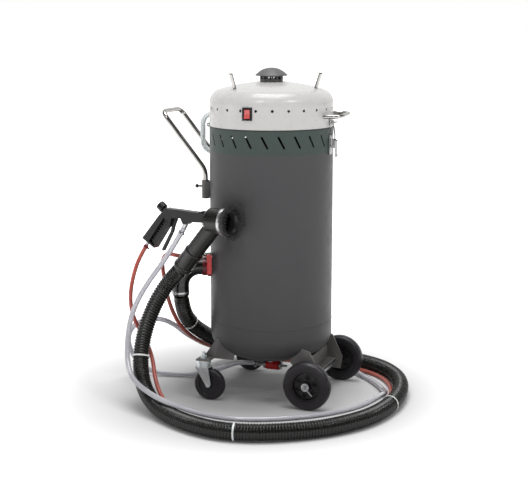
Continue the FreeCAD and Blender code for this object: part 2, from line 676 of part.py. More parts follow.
# ---- suction inlet and elbow ---------------------------------------------
i0 = polar(IN_AZ, 188, IN_Z)
i1 = polar(IN_AZ, 184, IN_Z)
fl = fuse([cyl(33, 16, *polar(IN_AZ, 189, IN_Z), d=ind), cyl(30, 16, *polar(IN_AZ, 205, IN_Z), d=ind), cyl(21.9, 40, *i1, d=ind)])
fl = cut(fl, [cyl(18.5, 80, *polar(IN_AZ, 170, IN_Z), d=ind), cut(cyl(195.0, 120, 0, 0, 350), cyl(21.95, 60, *inl, d=ind))])
part(fl, "inlet_flange")
RB = 60.0
e0 = V(*polar(IN_AZ, 221.0, IN_Z))
e1 = V(*polar(IN_AZ, 291.0, IN_Z))
e2 = V(e1.x, e1.y, 318)
el = bar([(e0.x, e0.y, e0.z), (e1.x, e1.y, e1.z), (e2.x, e2.y, e2.z)], [RB], 27)
li = bar([(e0.x, e0.y, e0.z), (e1.x, e1.y, e1.z), (e2.x, e2.y, e2.z)], [RB], 22)
part(feature(el.cut(li)), "inlet_elbow")

# ---- blast air valve and supply nipple -----------------------------------
av = fuse([cyl(5.9, 20, *polar(VAL_AZ, 187, VAL_Z), d=vad), cyl(9.5, 6, *polar(VAL_AZ, 195.6, VAL_Z), d=vad),
           cyl(11.5, 18, *polar(VAL_AZ, 201.6, VAL_Z), d=vad), cyl(8.5, 7, *polar(VAL_AZ, 219.6, VAL_Z), d=vad),
           cyl(4.4, 22, *polar(VAL_AZ, 226, VAL_Z), d=vad)])
vt = V(-math.sin(math.radians(VAL_AZ)), math.cos(math.radians(VAL_AZ)), 0)   # tangential, away from the inlet
pv = V(*polar(VAL_AZ, 210.6, VAL_Z))
sp = pv + vt * 9
av = fuse([av, cyl(4.5, 9, sp.x, sp.y, sp.z, (vt.x, vt.y, 0))])
part(av, "air_valve_body")
lp = pv + vt * 18.4
lvr = fuse([cyl(9, 5, lp.x, lp.y, lp.z, (vt.x, vt.y, 0)),
            turned_box((lp.x + vt.x * 2.5, lp.y + vt.y * 2.5, VAL_Z - 27), (14, 5, 56), R3(V(0, 0, 1), VAL_AZ))])
part(lvr, "air_valve_lever")
sup = fuse([cyl(5.95, 20, *polar(BACK_AZ, 186, 640), d=bad), cyl(10, 12, *polar(BACK_AZ, 195.6, 640), d=bad), cyl(6.5, 22, *polar(BACK_AZ, 207, 640), d=bad)])
sup = cut(sup, cyl(3.5, 80, *polar(BACK_AZ, 180, 640), d=bad))
part(sup, "air_supply_nipple")

# ---- blast gun -----------------------------------------------------------
# gun frame: X towards the brush, origin on the brush axis at the brush face
GZ = 585.5
GA = -12.3
GR = R3(V(0, 0, 1), GA)
GB = V(-26, -255, GZ)


def gw(sx, n, zr):
    p = GB + GR.multVec(V(sx, n, zr))
    return (p.x, p.y, p.z)


def gd_(sx, n, zr):
    p = GR.multVec(V(sx, n, zr))
    return (p.x, p.y, p.z)


hull_pts = [(-105, 21), (-111, 21.3), (-113, 25.5), (-121, 25.5), (-123, 21.6), (-214, 24.6), (-240, 24.6), (-250, 26), (-264, 12), (-276, 0),
            (-342, -76), (-296, -104), (-246, -34), (-236, -33), (-231, -22), (-226, -3), (-205, -1), (-192, -1), (-183, -18),
            (-170, -19), (-160, -10), (-105, -7)]
for s, lab in ((-1, "gun_shell_near"), (1, "gun_shell_far")):
    body = doc.addObject("PartDesign::Body", nm("Body"))
    sk = loop(body, "XZ_Plane", hull_pts)
    pad = body.newObject("PartDesign::Pad", nm("Pad"))
    pad.Profile = sk
    pad.Length = 13
    # the sketch normal of the XZ plane is -Y
    pad.Reversed = (s > 0)
    put(body, GB.x, GB.y, GB.z, GR)
    tools = []
    gx = V(-58.0, 0, -77.0)
    gx.normalize()
    for k in range(10):
        c = V(-250, 0, -15) + gx * (10.0 * k)
        ang = math.degrees(math.atan2(gx.z, gx.x))
        rr = GR * R3(V(0, 1, 0), -ang)
        tools.append(turned_box(gw(c.x, 0, c.z), (5.4, 60, 21), rr))
        if k == 0:
            mid = c + gx * 45.0
            tools.append(turned_box(gw(mid.x, -10, mid.z), (99, 10, 23), rr))
            tools.append(turned_box(gw(mid.x, 10, mid.z), (99, 10, 23), rr))
    # trigger slot and pin
    tools.append(turned_box(gw(-226, 0, -16), (42, 8.8, 46), GR))
    tools.append(cyl(2.54, 60, *gw(-217, -30, -2), d=gd_(0, 1, 0)))
    sh = cut(body, fuse(tools))
    part(sh, lab)
kd = V(-0.79, 0, 0.613)
kp = gw(-256.5, 0, 16.5)
knobrot = R3(V(0, 0, 1), V(*gd_(kd.x, 0, kd.z)))
kn_ = turned([(0, 0.4), (8, 0.4), (8, 4), (13.6, 5), (14.6, 7), (14.6, 23), (13.4, 25.4), (0, 25.4)], None, kp[0], kp[1], kp[2], knobrot)
kshift = gw(-256.5 + kd.x * 3.2, 0, 16.5 + kd.z * 3.2)
kn_ = put(kn_, kshift[0], kshift[1], kshift[2], knobrot)
part(kn_, "gun_knob")
trig = plate([(-221, 4), (-212, 4), (-212, -8), (-222, -30), (-226, -46), (-262, -110), (-268, -112), (-272, -107), (-236, -46), (-231, -28), (-222, -8)], 8,
             GB.x, GB.y, GB.z, GR)
tp = gw(-217, -12.9, -2)
trig2 = fuse([trig, cyl(2.5, 25.8, *tp, d=gd_(0, 1, 0))])
part(trig2, "gun_trigger")

# suction head: brush collar, slanted pipe with a smooth cuff
pd = V(-0.649, 0, -0.761)
ps = V(-70, 0, -11)
pl = 120.0
hd = fuse([cyl(39.2, 48, *gw(-86, 0, 0), d=gd_(1, 0, 0)), cone(24, 39.2, 18.1, *gw(-104, 0, 0), d=gd_(1, 0, 0)), cyl(27.5, pl, *gw(ps.x, 0, ps.z), d=gd_(pd.x, 0, pd.z))])
hd = cut(hd, cyl(36, 60, *gw(-85, 0, 0), d=gd_(1, 0, 0)))
hd = cut(hd, cyl(24, pl + 40, *gw(ps.x, 0, ps.z), d=gd_(pd.x, 0, pd.z)))
hd = cut(hd, cyl(9.05, 20, *gw(-120, 0, 4.5), d=gd_(1, 0, 0)))
part(hd, "suction_head")
noz = cut(cyl(9, 42, *gw(-104.6, 0, 4.5), d=gd_(1, 0, 0)), cyl(5, 60, *gw(-114, 0, 4.5), d=gd_(1, 0, 0)))
barb = cut(cyl(7, 22, *gw(-176, 0, -14), d=gd_(-0.52, 0, -0.854)), cyl(4.5, 40, *gw(-172, 0, -8), d=gd_(-0.52, 0, -0.854)))
nip = cyl(5.0, 16, *gw(-327.0, 0, -84.5), d=gd_(-0.40, 0, -0.917))
part(group([noz, barb, nip]), "gun_fittings")
band = cut(cyl(band_rad, 17, *gw(-39, 0, 0), d=gd_(1, 0, 0)), cyl(39.8, 40, *gw(-60, 0, 0), d=gd_(1, 0, 0)))
part(band, "brush_band")
gax = R3(V(0, 0, 1), V(*gd_(1, 0, 0)))
br = turned([(34, -37.6), (39.2, -37.6), (39.2, -21.8), (43, -21.5), (51, -10), (brush_rad, 0), (46, 0), (38, -16), (34, -26)], None,
            GB.x, GB.y, GB.z, gax)
part(br, "brush_bristles")

# holder: arm on the tank with a fork that carries the suction head
hc = V(*gw(-88, 0, 0))
ho = fuse([turned_box(gw(-66, 50, -6), (30, 20, 26), GR), turned_box(gw(-66, 66, 0), (30, 18, 40), GR)])
part(cut(ho, [cyl(195.1, 300, 0, 0, 450), cyl(39.3, 90, *gw(-125, 0, 0), d=gd_(1, 0, 0))]), "gun_holder")

# ---- hoses ---------------------------------------------------------------
cuff_a = ps + pd * pl
cd = V(-0.70, 0, -0.714)
cuff_b = V(-195, 0, -157)
S0 = gw(cuff_b.x, 0, cuff_b.z)
suction = [S0, (-262, -205, 385), (-298, -226, 325), (-322, -250, 255), (-333, -272, 185), (-325, -303, 118), (-290, -348, 64),
           (-228, -402, 33), (-148, -458, 28), (-62, -504, 28), (32, -530, 28), (128, -516, 28), (216, -472, 28), (296, -412, 26),
           (358, -342, 28), (404, -258, 28), (427, -166, 28), (435, -70, 28), (427, 28, 28), (404, 122, 28), (364, 208, 26),
           (302, 276, 28), (222, 322, 28), (130, 344, 28), (36, 356, 28), (-58, 354, 28), (-146, 336, 32), (-216, 292, 52),
           (-256, 222, 80), (-264, 142, 112), (-262, 62, 148), (-268, -14, 190), (-268, -78, 238), (e2.x - 0.5, -112, 282), (e2.x, e2.y, 318)]
sh_ = tube(suction, hose_rad.n, report="suction_hose")
ca = gw(cuff_a.x, 0, cuff_a.z)
cuffd = V(*S0) - V(*ca)
cuffl = cuffd.Length
cuffd.normalize()
cuff_s = Part.makeCylinder(30, cuffl, V(*ca), cuffd)
part(feature(Part.makeCompound([sh_, cuff_s])), "suction_hose")
A0 = gw(-333.4, 0, -99.2)
bar_end = polar(VAL_AZ, 248.2, VAL_Z)
air = [A0, (-374, -196, 445), (-386, -212, 395), (-392, -226, 342), (-390, -230, 288), (-374, -226, 236), (-342, -224, 186),
       (-306, -250, 136), (-276, -300, 84), (-226, -352, 38), (-146, -412, 10), (-51, -472, 8), (34, -497, 8), (119, -484, 8),
       (200, -444, 8), (276, -388, 8), (333, -323, 8), (374, -246, 8), (396, -161, 8), (404, -70, 8), (396, 23, 8),
       (375, 112, 8), (338, 190, 8), (282, 251, 8), (210, 291, 8), (125, 311, 8), (34, 323, 8), (-55, 321, 8), (-135, 306, 10),
       (-209, 279, 18), (-250, 225, 44), (-262, 146, 76), (-264, 66, 110), (-272, -14, 150), (-284, -80, 200), (-300, -106, 252),
       (-316, -112, 304), (-324, -111, 352), (-328, -122, 400), (-318, -140, 440), (-288, -162, 460), (-246, -180, 456),
       (bar_end[0], bar_end[1], bar_end[2])]
part(feature(tube(air, air_rad.n, report="air_hose")), "air_hose")
B0 = gw(-187.4, 0, -32.8)
clear = [B0, (-238, -226, 500), (-272, -240, 444), (-312, -256, 386), (-346, -270, 326), (-368, -278, 266), (-376, -284, 208),
         (-368, -306, 152), (-336, -354, 108), (-276, -396, 84), (-196, -436, 68), (-118, -458, 59), (-46, -488, 58), (33, -505, 58), (120, -493, 58),
         (203, -451, 58), (279, -395, 58), (339, -328, 58), (380, -249, 57), (397, -162, 55), (399, -80, 47), (388, -2, 27), (359, 74, 11),
         (306, 156, 9), (240, 226, 9), (168, 276, 24), (92, 312, 58), (12, 350, 69), (-66, 380, 64), (-146, 388, 32),
         (-234, 330, 28), (-286, 244, 50), (-300, 150, 84), (-298, 66, 122), (-300, -14, 162), (-308, -70, 202), (-332, -112, 230),
         (-374, -136, 234), (-420, -136, 214), (-456, -114, 176), (-476, -82, 128), (-478, -46, 78), (-460, -18, 34),
         (-416, 0, 11), (-350, 10, 9), (-284, 28, 9), (-226, 48, 22), (-166, 44, 50), (-104, 4, 79), (-43, 0, 80)]
part(feature(tube(clear, abr_rad.n, report="abrasive_hose")), "abrasive_hose")
ties = []
for i in (4, 10, 16, 31):
    a, b = V(*suction[i]), V(*suction[i + 1])
    m = (a + b) * 0.5
    d = b - a
    d.normalize()
    m = m - d * 2.5
    ties.append(cut(cyl(27.2, 5, m.x, m.y, m.z, (d.x, d.y, d.z)), cyl(25.7, 5, m.x, m.y, m.z, (d.x, d.y, d.z))))
part(group(ties), "hose_ties")
part(feature(bar([(-195.9, 0, 891), (-234.5, 0, 891), (-234.5, 0, 770), (-195.9, 0, 770)], [34, 34], link_rad.n)), "link_hose")

# ---- check and write -----------------------------------------------------
doc.recompute()
bad = [o.Name for o in doc.Objects if any(x in ("Invalid", "Error") for x in o.State)]
for o in PARTS:
    if o.Shape.isNull() or not o.Shape.isValid() or not o.Shape.Solids:
        bad.append(o.Label)
if bad:
    raise RuntimeError("failed: " + ", ".join(bad))
os.makedirs("parts", exist_ok=True)
for old in os.listdir("parts"):
    os.remove(os.path.join("parts", old))
allbox = FreeCAD.BoundBox()
CORDS = ("suction_hose", "air_hose", "abrasive_hose", "hose_ties")
for o in PARTS:
    o.Shape.exportStep("parts/%s.step" % o.Label)
    if o.Label not in CORDS:
        allbox.add(o.Shape.BoundBox)
print(len(PARTS), "sub-parts, box without hoses", allbox)
for o in PARTS:
    b = o.Shape.BoundBox
    print("%-18s solids %d vol %9.0f  x %.0f..%.0f y %.0f..%.0f z %.0f..%.0f" % (
        o.Label, len(o.Shape.Solids), o.Shape.Volume, b.XMin, b.XMax, b.YMin, b.YMax, b.ZMin, b.ZMax))
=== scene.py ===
import bpy, bmesh, math, random
from mathutils import Vector, Matrix, Quaternion


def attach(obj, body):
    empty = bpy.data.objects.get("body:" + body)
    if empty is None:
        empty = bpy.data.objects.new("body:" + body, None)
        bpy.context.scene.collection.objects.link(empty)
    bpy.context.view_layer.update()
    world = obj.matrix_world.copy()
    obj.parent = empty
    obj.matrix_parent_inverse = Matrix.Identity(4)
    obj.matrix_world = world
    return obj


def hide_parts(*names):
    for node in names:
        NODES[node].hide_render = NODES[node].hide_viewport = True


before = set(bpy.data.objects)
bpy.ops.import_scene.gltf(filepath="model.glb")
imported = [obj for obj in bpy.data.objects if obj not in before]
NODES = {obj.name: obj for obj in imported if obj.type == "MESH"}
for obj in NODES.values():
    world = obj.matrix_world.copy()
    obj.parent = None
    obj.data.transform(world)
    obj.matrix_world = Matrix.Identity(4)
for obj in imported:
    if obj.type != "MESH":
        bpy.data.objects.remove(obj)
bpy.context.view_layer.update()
random.seed(7)

OX, OY = 0.05236, 0.0503           # tank axis in the stored frame, metres
COL = bpy.context.scene.collection


def P(x, y, z):
    """Point given in millimetres from the tank axis, as a point of the frame in metres."""
    return Vector((x / 1000.0 + OX, y / 1000.0 + OY, z / 1000.0))


def polar(az, r, z):
    a = math.radians(az)
    return P(r * math.cos(a), r * math.sin(a), z)


# ---------------------------------------------------------------- camera, floor, light
cam = bpy.data.cameras.new("camera")
cam.lens = 84.57
cam.sensor_width = 36.0
cam.clip_end = 50
camo = bpy.data.objects.new("camera", cam)
camo.location = P(1344.4, -3674.2, 1188.4)
camo.rotation_euler = (math.radians(90 - 10.43), 0, math.radians(20.44))
COL.objects.link(camo)
bpy.context.scene.camera = camo


def node_mat(name):
    m = bpy.data.materials.new(name)
    m.use_nodes = True
    nt = m.node_tree
    nt.nodes.clear()
    out = nt.nodes.new("ShaderNodeOutputMaterial")
    b = nt.nodes.new("ShaderNodeBsdfPrincipled")
    nt.links.new(b.outputs[0], out.inputs[0])
    return m, nt, b


def coords(nt, scale=1.0):
    t = nt.nodes.new("ShaderNodeTexCoord")
    mp = nt.nodes.new("ShaderNodeMapping")
    if isinstance(scale, (int, float)):
        scale = (scale, scale, scale)
    mp.inputs["Scale"].default_value = scale
    nt.links.new(t.outputs["Object"], mp.inputs[0])
    return mp.outputs[0]


def noise(nt, vec, scale, detail=4, rough=0.55):
    n = nt.nodes.new("ShaderNodeTexNoise")
    n.inputs["Scale"].default_value = scale
    n.inputs["Detail"].default_value = detail
    n.inputs["Roughness"].default_value = rough
    nt.links.new(vec, n.inputs["Vector"])
    return n.outputs["Fac"]


def ramp(nt, fac, stops):
    r = nt.nodes.new("ShaderNodeValToRGB")
    el = r.color_ramp.elements
    while len(el) < len(stops):
        el.new(0.5)
    for e, (p, c) in zip(el, stops):
        e.position = p
        e.color = c if len(c) == 4 else (c[0], c[1], c[2], 1)
    nt.links.new(fac, r.inputs[0])
    return r.outputs[0]


def grey(v):
    return (v, v, v, 1)


def bump(nt, b, height, dist, strength=0.5):
    n = nt.nodes.new("ShaderNodeBump")
    n.inputs["Distance"].default_value = dist
    n.inputs["Strength"].default_value = strength
    nt.links.new(height, n.inputs["Height"])
    nt.links.new(n.outputs[0], b.inputs["Normal"])
    return n


def mix(nt, a, b, fac, kind="MIX"):
    m = nt.nodes.new("ShaderNodeMix")
    m.data_type = "RGBA"
    m.blend_type = kind
    if isinstance(fac, (int, float)):
        m.inputs[0].default_value = fac
    else:
        nt.links.new(fac, m.inputs[0])
    for sock, v in ((6, a), (7, b)):
        if isinstance(v, (tuple, list)):
            m.inputs[sock].default_value = v if len(v) == 4 else (v[0], v[1], v[2], 1)
        else:
            nt.links.new(v, m.inputs[sock])
    return m.outputs[2]


def edge_wear(nt, lo=0.52, hi=0.62):
    g = nt.nodes.new("ShaderNodeNewGeometry")
    return ramp(nt, g.outputs["Pointiness"], [(lo, grey(0)), (hi, grey(1))])


def paint(name, base, dark, rough=0.4, coat=0.0, peel=0.0004, speck=True, wear=None, metallic=0.0, spec=0.5):
    """Sprayed or powder-coated metal: faint mottling, orange peel and wear on edges."""
    m, nt, b = node_mat(name)
    v = coords(nt)
    big = noise(nt, v, 5.0, 3)
    col = mix(nt, base, dark, ramp(nt, big, [(0.35, grey(0)), (0.7, grey(0.55))]))
    fine = noise(nt, v, 220.0, 3)
    if speck:
        col = mix(nt, col, tuple(c * 1.35 for c in base[:3]), ramp(nt, fine, [(0.55, grey(0)), (0.8, grey(0.35))]))
    if wear:
        col = mix(nt, col, wear, edge_wear(nt, 0.53, 0.66))
    nt.links.new(col, b.inputs["Base Color"])
    nt.links.new(ramp(nt, noise(nt, v, 38.0, 4), [(0.3, grey(max(rough - 0.06, 0.03))), (0.75, grey(rough + 0.07))]), b.inputs["Roughness"])
    b.inputs["Metallic"].default_value = metallic
    b.inputs["Specular IOR Level"].default_value = spec
    b.inputs["Coat Weight"].default_value = coat
    b.inputs["Coat Roughness"].default_value = 0.12
    bump(nt, b, noise(nt, v, 320.0, 2), peel, 0.45)
    return m


def metal(name, base, rough=0.15, scratch=0.06, stretch=(1, 1, 1), tarnish=None):
    m, nt, b = node_mat(name)
    v = coords(nt, stretch)
    n = noise(nt, v, 90.0, 5)
    col = mix(nt, base, tarnish or tuple(c * 0.72 for c in base[:3]), ramp(nt, noise(nt, coords(nt), 24.0, 4), [(0.45, grey(0)), (0.75, grey(0.5))]))
    nt.links.new(col, b.inputs["Base Color"])
    nt.links.new(ramp(nt, n, [(0.3, grey(max(rough - scratch, 0.02))), (0.75, grey(rough + scratch))]), b.inputs["Roughness"])
    b.inputs["Metallic"].default_value = 1.0
    bump(nt, b, n, 0.0002, 0.18)
    return m


def plastic(name, base, rough=0.42, grain=700.0, depth=0.00025, spec=0.45, worn=None, tint=None, metallic=0.0):
    m, nt, b = node_mat(name)
    v = coords(nt)
    col = mix(nt, base, tint or tuple(c * 1.9 + 0.004 for c in base[:3]), ramp(nt, noise(nt, v, 14.0, 4), [(0.4, grey(0)), (0.8, grey(0.5))]))
    if worn:
        col = mix(nt, col, worn, edge_wear(nt, 0.53, 0.68))
    nt.links.new(col, b.inputs["Base Color"])
    nt.links.new(ramp(nt, noise(nt, v, 60.0, 4), [(0.3, grey(rough - 0.07)), (0.8, grey(rough + 0.1))]), b.inputs["Roughness"])
    b.inputs["Specular IOR Level"].default_value = spec
    b.inputs["Metallic"].default_value = metallic
    bump(nt, b, noise(nt, v, grain, 3), depth, 0.5)
    return m


def lin(r, g, b):
    f = lambda c: (c / 255.0 / 12.92) if c / 255.0 <= 0.04045 else ((c / 255.0 + 0.055) / 1.055) ** 2.4
    return (f(r), f(g), f(b), 1.0)


M = {}
M["tank"] = paint("tank_enamel", lin(72, 71, 72), lin(67, 66, 68), 0.46, 0.0, speck=False, spec=0.16)
M["collar"] = paint("collar_enamel", lin(62, 72, 68), lin(57, 66, 63), 0.46, 0.0, speck=False, spec=0.18)
M["frame"] = paint("frame_enamel", lin(52, 51, 52), lin(44, 44, 45), 0.45, 0.1, wear=lin(110, 108, 106))
M["dark_frame"] = paint("dark_frame_enamel", lin(38, 38, 38), lin(30, 30, 30), 0.45, 0.1, wear=lin(90, 88, 86))
M["lid"] = paint("lid_enamel", lin(184, 183, 181), lin(180, 179, 178), 0.3, 0.2, peel=0.0002, speck=False, spec=0.35)
M["inside"] = paint("inside_primer", lin(52, 52, 52), lin(40, 40, 40), 0.7, 0.0)
M["chrome"] = metal("chrome_plate", lin(168, 166, 163), 0.1, 0.04, tarnish=lin(96, 92, 88))
M["plated"] = metal("plated_latch_steel", lin(150, 152, 152), 0.3, 0.06, tarnish=lin(104, 106, 106))
M["zinc"] = metal("zinc_plate", lin(222, 229, 231), 0.36, 0.04, tarnish=lin(204, 211, 212))
M["steel"] = metal("brushed_steel", lin(178, 178, 180), 0.3, 0.1, (1, 1, 14))
M["brass"] = metal("dull_brass", lin(196, 160, 92), 0.3, 0.08, tarnish=lin(120, 92, 50))
M["cap"] = plastic("exhaust_plastic", lin(86, 86, 87), 0.5, tint=lin(91, 91, 92))
M["cap_dark"] = plastic("exhaust_shadow_plastic", lin(60, 61, 61), 0.55)
M["black"] = plastic("moulded_black", lin(8, 8, 9), 0.34, spec=0.3, worn=lin(30, 30, 30), tint=lin(13, 13, 14))
M["hose"] = plastic("suction_hose_black", lin(15, 16, 13), 0.26, grain=420.0, tint=lin(23, 24, 20))
M["red"] = plastic("red_moulding", lin(200, 34, 34), 0.3, tint=lin(168, 22, 26))
M["red_dark"] = plastic("dark_red_moulding", lin(112, 28, 34), 0.38, tint=lin(80, 20, 26))
M["rubber"] = plastic("wheel_rubber", lin(33, 30, 34), 0.44, grain=500.0, tint=lin(42, 38, 42))
M["rim"] = plastic("rim_plastic", lin(18, 16, 19), 0.33, tint=lin(26, 24, 27))
M["gasket"] = plastic("gasket_rubber", lin(26, 26, 27), 0.6)
M["paper"] = plastic("filter_paper", lin(214, 208, 190), 0.85)

# red rubber air hose
m, nt, b = node_mat("red_air_hose")
v = coords(nt)
col = mix(nt, lin(172, 84, 72), lin(148, 62, 54), ramp(nt, noise(nt, v, 16.0, 4), [(0.4, grey(0)), (0.75, grey(0.8))]))
nt.links.new(col, b.inputs["Base Color"])
nt.links.new(ramp(nt, noise(nt, v, 70.0, 3), [(0.3, grey(0.3)), (0.8, grey(0.45))]), b.inputs["Roughness"])
bump(nt, b, noise(nt, v, 260.0, 3), 0.0004, 0.35)
M["red_hose"] = m

# translucent hose with a milky body
m, nt, b = node_mat("clear_hose_wall")
v = coords(nt)
col = mix(nt, lin(204, 203, 209), lin(178, 178, 186), ramp(nt, noise(nt, v, 9.0, 4), [(0.35, grey(0)), (0.75, grey(1))]))
nt.links.new(col, b.inputs["Base Color"])
nt.links.new(ramp(nt, noise(nt, v, 60.0, 3), [(0.3, grey(0.12)), (0.8, grey(0.24))]), b.inputs["Roughness"])
b.inputs["Transmission Weight"].default_value = 0.35
b.inputs["IOR"].default_value = 1.4
b.inputs["Coat Weight"].default_value = 0.5
b.inputs["Coat Roughness"].default_value = 0.06
bump(nt, b, noise(nt, v, 90.0, 2), 0.0004, 0.25)
M["clear_hose"] = m

m, nt, b = node_mat("link_hose_wall")
v = coords(nt)
col = mix(nt, lin(222, 226, 226), lin(200, 206, 206), ramp(nt, noise(nt, v, 12.0, 4), [(0.35, grey(0)), (0.75, grey(1))]))
nt.links.new(col, b.inputs["Base Color"])
b.inputs["Roughness"].default_value = 0.14
b.inputs["Transmission Weight"].default_value = 0.45
b.inputs["IOR"].default_value = 1.38
b.inputs["Coat Weight"].default_value = 0.4
bump(nt, b, noise(nt, v, 60.0, 2), 0.0004, 0.2)
M["link_hose"] = m

# glossy red translucent rocker
m, nt, b = node_mat("rocker_lens")
v = coords(nt)
col = mix(nt, lin(196, 92, 90), lin(170, 66, 66), ramp(nt, noise(nt, v, 60.0, 3), [(0.4, grey(0)), (0.8, grey(1))]))
nt.links.new(col, b.inputs["Base Color"])
b.inputs["Roughness"].default_value = 0.18
b.inputs["Subsurface Weight"].default_value = 0.3
b.inputs["Subsurface Scale"].default_value = 0.004
bump(nt, b, noise(nt, v, 400.0, 2), 0.0001, 0.3)
M["rocker"] = m

# bristles
m, nt, b = node_mat("brush_bristle")
v = coords(nt)
col = mix(nt, lin(24, 22, 23), lin(52, 48, 50), ramp(nt, noise(nt, v, 300.0, 3), [(0.45, grey(0)), (0.8, grey(1))]))
nt.links.new(col, b.inputs["Base Color"])
b.inputs["Roughness"].default_value = 0.4
b.inputs["Sheen Weight"].default_value = 0.15
bump(nt, b, noise(nt, v, 900.0, 2), 0.0003, 0.4)
M["bristle"] = m

m, nt, b = node_mat("tie_nylon")
v = coords(nt)
col = mix(nt, lin(232, 233, 232), lin(206, 208, 208), ramp(nt, noise(nt, v, 90.0, 3), [(0.4, grey(0)), (0.8, grey(1))]))
nt.links.new(col, b.inputs["Base Color"])
b.inputs["Roughness"].default_value = 0.3
b.inputs["Subsurface Weight"].default_value = 0.15
b.inputs["Subsurface Scale"].default_value = 0.002
bump(nt, b, noise(nt, v, 500.0, 2), 0.0001, 0.3)
M["nylon"] = m

# ---------------------------------------------------------------- helpers
def link(o):
    COL.objects.link(o)
    return o


def mesh_obj(name, verts, faces, mat, smooth=True):
    me = bpy.data.meshes.new(name)
    me.from_pydata([tuple(v) for v in verts], [], faces)
    me.validate()
    me.update()
    o = link(bpy.data.objects.new(name, me))
    if mat:
        me.materials.append(mat)
    if smooth:
        for p in me.polygons:
            p.use_smooth = True
    return o


def frame_to(origin, axis, up=(0, 0, 1)):
    """Matrix whose Z is axis, at origin."""
    z = Vector(axis).normalized()
    u = Vector(up)
    if abs(z.dot(u)) > 0.98:
        u = Vector((1, 0, 0))
    x = u.cross(z).normalized()
    y = z.cross(x)
    m = Matrix((x, y, z)).transposed().to_4x4()
    m.translation = Vector(origin)
    return m


def lathe(name, prof, origin, axis, mat, seg=64, closed=False, sharp=28):
    """Solid of revolution; prof is (radius, height) in millimetres along axis from origin."""
    mt = frame_to(origin, axis)
    verts, faces = [], []
    n = len(prof)
    for k in range(seg):
        a = 2 * math.pi * k / seg
        for r, h in prof:
            verts.append(mt @ Vector((r / 1000 * math.cos(a), r / 1000 * math.sin(a), h / 1000)))
    for k in range(seg):
        k2 = (k + 1) % seg
        rng = n if closed else n - 1
        for i in range(rng):
            j = (i + 1) % n
            a, b_, c, d = k * n + i, k2 * n + i, k2 * n + j, k * n + j
            faces.append((a, b_, c, d))
    o = mesh_obj(name, verts, faces, mat)
    bm = bmesh.new()
    bm.from_mesh(o.data)
    bmesh.ops.remove_doubles(bm, verts=bm.verts, dist=1e-6)
    bmesh.ops.dissolve_degenerate(bm, edges=bm.edges, dist=1e-7)
    if not closed:
        bmesh.ops.holes_fill(bm, edges=[e for e in bm.edges if e.is_boundary], sides=0)
    bmesh.ops.recalc_face_normals(bm, faces=bm.faces)
    bm.to_mesh(o.data)
    bm.free()
    for p in o.data.polygons:
        p.use_smooth = True
    o.data.set_sharp_from_angle(angle=math.radians(sharp))
    return o


def boxy(name, center, size, rot, mat, bevel=0.0008, seg=2):
    bm = bmesh.new()
    bmesh.ops.create_cube(bm, size=1.0)
    for v in bm.verts:
        v.co = Vector((v.co.x * size[0] / 1000, v.co.y * size[1] / 1000, v.co.z * size[2] / 1000))
    if bevel:
        bmesh.ops.bevel(bm, geom=bm.edges[:], offset=bevel, segments=seg, profile=0.5, affect="EDGES")
    mt = rot.to_4x4() if rot else Matrix.Identity(4)
    mt.translation = Vector(center)
    bmesh.ops.transform(bm, matrix=mt, verts=bm.verts)
    me = bpy.data.meshes.new(name)
    bm.to_mesh(me)
    bm.free()
    me.materials.append(mat)
    o = link(bpy.data.objects.new(name, me))
    for p in me.polygons:
        p.use_smooth = True
    me.set_sharp_from_angle(angle=math.radians(35))
    return o


def join(name, objs):
    bpy.ops.object.select_all(action="DESELECT")
    for o in objs:
        o.select_set(True)
    bpy.context.view_layer.objects.active = objs[0]
    bpy.ops.object.join()
    objs[0].name = name
    return objs[0]


def nurbs_points(pts, res=8, order=3):
    """Points of the NURBS curve through these control points, in order."""
    c = bpy.data.curves.new("tmp_path", "CURVE")
    c.dimensions = "3D"
    c.resolution_u = res
    s = c.splines.new("NURBS")
    s.points.add(len(pts) - 1)
    for p, q in zip(s.points, pts):
        p.co = (q[0], q[1], q[2], 1)
    s.order_u = order
    s.use_endpoint_u = True
    o = bpy.data.objects.new("tmp_path", c)
    COL.objects.link(o)
    bpy.context.view_layer.update()
    me = bpy.data.meshes.new_from_object(o)
    out = [v.co.copy() for v in me.vertices]
    bpy.data.objects.remove(o)
    bpy.data.curves.remove(c)
    bpy.data.meshes.remove(me)
    return out


def resample(pts, step):
    d = [0.0]
    for a, b_ in zip(pts, pts[1:]):
        d.append(d[-1] + (b_ - a).length)
    total = d[-1]
    n = max(2, int(round(total / step)))
    out, j = [], 0
    for k in range(n + 1):
        s = total * k / n
        while j < len(d) - 2 and d[j + 1] < s:
            j += 1
        t = (s - d[j]) / max(d[j + 1] - d[j], 1e-9)
        out.append(pts[j].lerp(pts[j + 1], min(max(t, 0), 1)))
    return out, total


def frames_along(pts):
    """Rotation-minimising frames."""
    tans = []
    for i in range(len(pts)):
        a = pts[max(i - 1, 0)]
        b_ = pts[min(i + 1, len(pts) - 1)]
        tans.append((b_ - a).normalized())
    u = Vector((0, 0, 1))
    if abs(tans[0].dot(u)) > 0.95:
        u = Vector((1, 0, 0))
    n = (u - tans[0] * u.dot(tans[0])).normalized()
    out = []
    for t in tans:
        n = (n - t * n.dot(t)).normalized()
        out.append((t, n, t.cross(n)))
    return out


